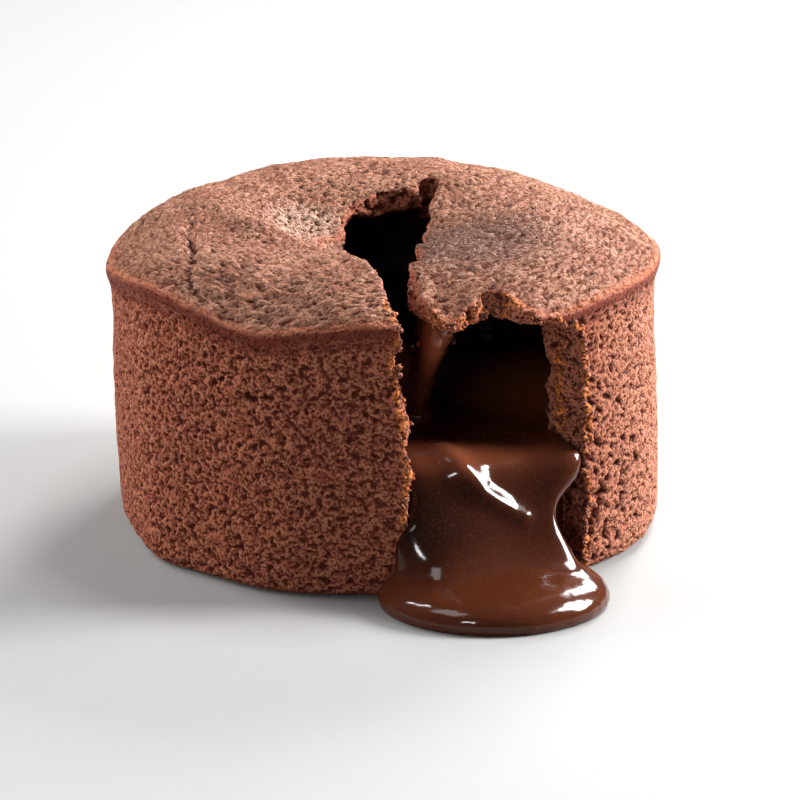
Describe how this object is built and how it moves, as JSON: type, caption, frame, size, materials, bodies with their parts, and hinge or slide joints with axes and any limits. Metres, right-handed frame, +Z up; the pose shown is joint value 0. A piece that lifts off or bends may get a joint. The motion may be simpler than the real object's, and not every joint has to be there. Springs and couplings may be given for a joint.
{
  "type": "chocolate lava cake",
  "caption": "Small round baked chocolate cake with a sunken, split top, torn open at the front so that its glossy molten filling runs out into a puddle.",
  "frame": {"origin": "on the axis of the round cake, at the surface that it stands on", "axes": "+Z up along the cake's axis, -Y towards the front, where it is split and the filling runs out, +X to the right of someone who looks at the front"},
  "size_m": [0.078, 0.0901, 0.045],
  "materials": {
    "cake": "dry porous baked chocolate sponge, paler crust on top, dark orange-brown crumb where it is torn",
    "lava": "wet glossy molten dark chocolate"
  },
  "bodies": {
    "root": {"cake": "cake", "lava": "lava"}
  },
  "joints": []
}
